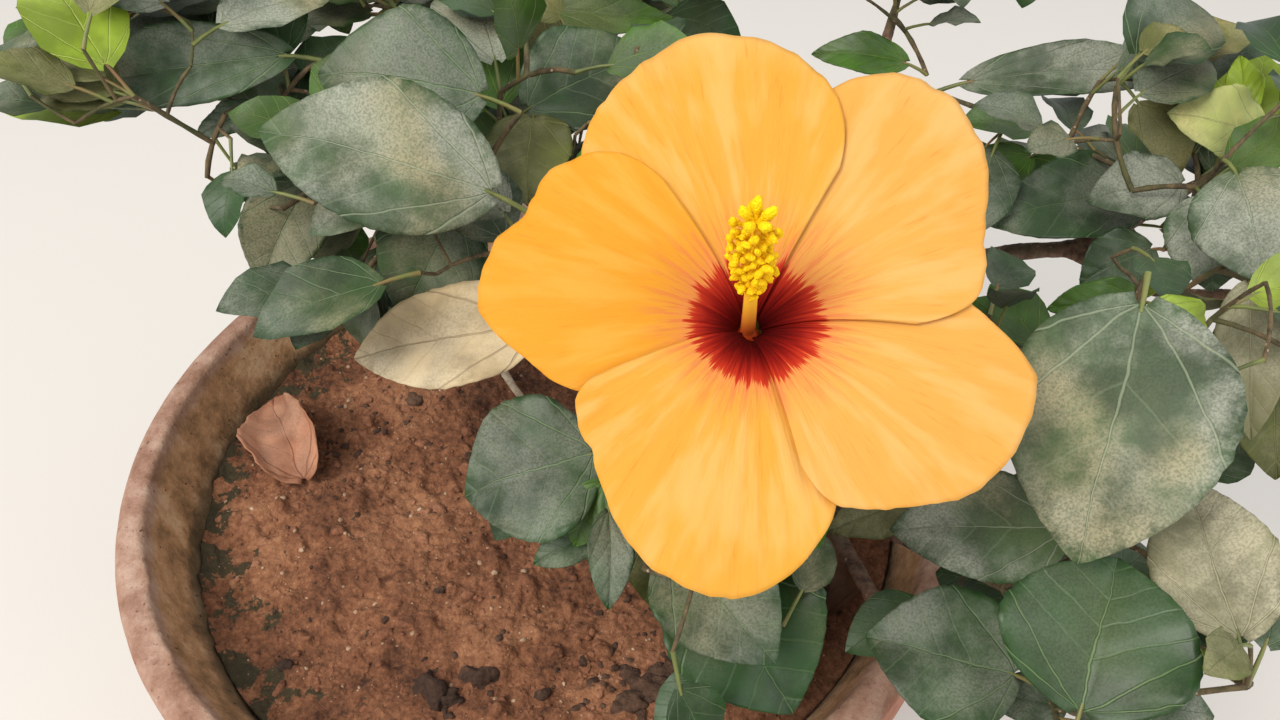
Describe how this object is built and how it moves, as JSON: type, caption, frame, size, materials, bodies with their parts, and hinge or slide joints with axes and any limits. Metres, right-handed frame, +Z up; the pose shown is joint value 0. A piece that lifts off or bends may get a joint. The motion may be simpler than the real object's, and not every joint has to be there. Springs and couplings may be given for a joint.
{
  "type": "potted hibiscus shrub",
  "caption": "Low spreading hibiscus shrub in a round clay pot of soil, with one large open yellow-orange bloom that has a dark red eye.",
  "frame": {"origin": "centre of the pot's flat underside", "axes": "+Z up; -Y towards the side that the plant is seen from, where the bloom looks; +X to the right of that view, where the foliage spreads furthest"},
  "size_m": [0.6037, 0.5055, 0.5079],
  "materials": {
    "clay": "unglazed terracotta, chalky pale on the rim",
    "soil": "dry crumbly earth",
    "bark": "matte brown bark",
    "leaf": "satin green, dusty in places",
    "petal": "soft satin yellow-orange with a dark red eye",
    "pollen": "matte yellow",
    "calyx": "satin light green"
  },
  "bodies": {
    "root": {"pot": "clay", "soil": "soil", "trunk": "bark", "bough_front": "bark", "bough_southeast": "bark", "bough_east": "bark", "bough_northeast": "bark", "bough_back_right": "bark", "bough_centre": "bark", "bough_west": "bark", "bough_bloom": "bark", "bough_south": "bark", "bough_far_east": "bark", "bough_back": "bark", "bough_northwest": "bark", "bough_far_west": "bark", "foliage_front": "leaf", "foliage_southeast": "leaf", "foliage_east": "leaf", "foliage_northeast": "leaf", "foliage_far_east": "leaf", "foliage_south": "leaf", "foliage_back_right": "leaf", "foliage_back": "leaf", "foliage_centre": "leaf", "foliage_west": "leaf", "foliage_far_west": "leaf", "foliage_northwest": "leaf", "petal_top": "petal", "petal_upper_right": "petal", "petal_lower_right": "petal", "petal_bottom": "petal", "petal_left": "petal", "bloom_column": "pollen", "bloom_stalk": "calyx"}
  },
  "joints": []
}
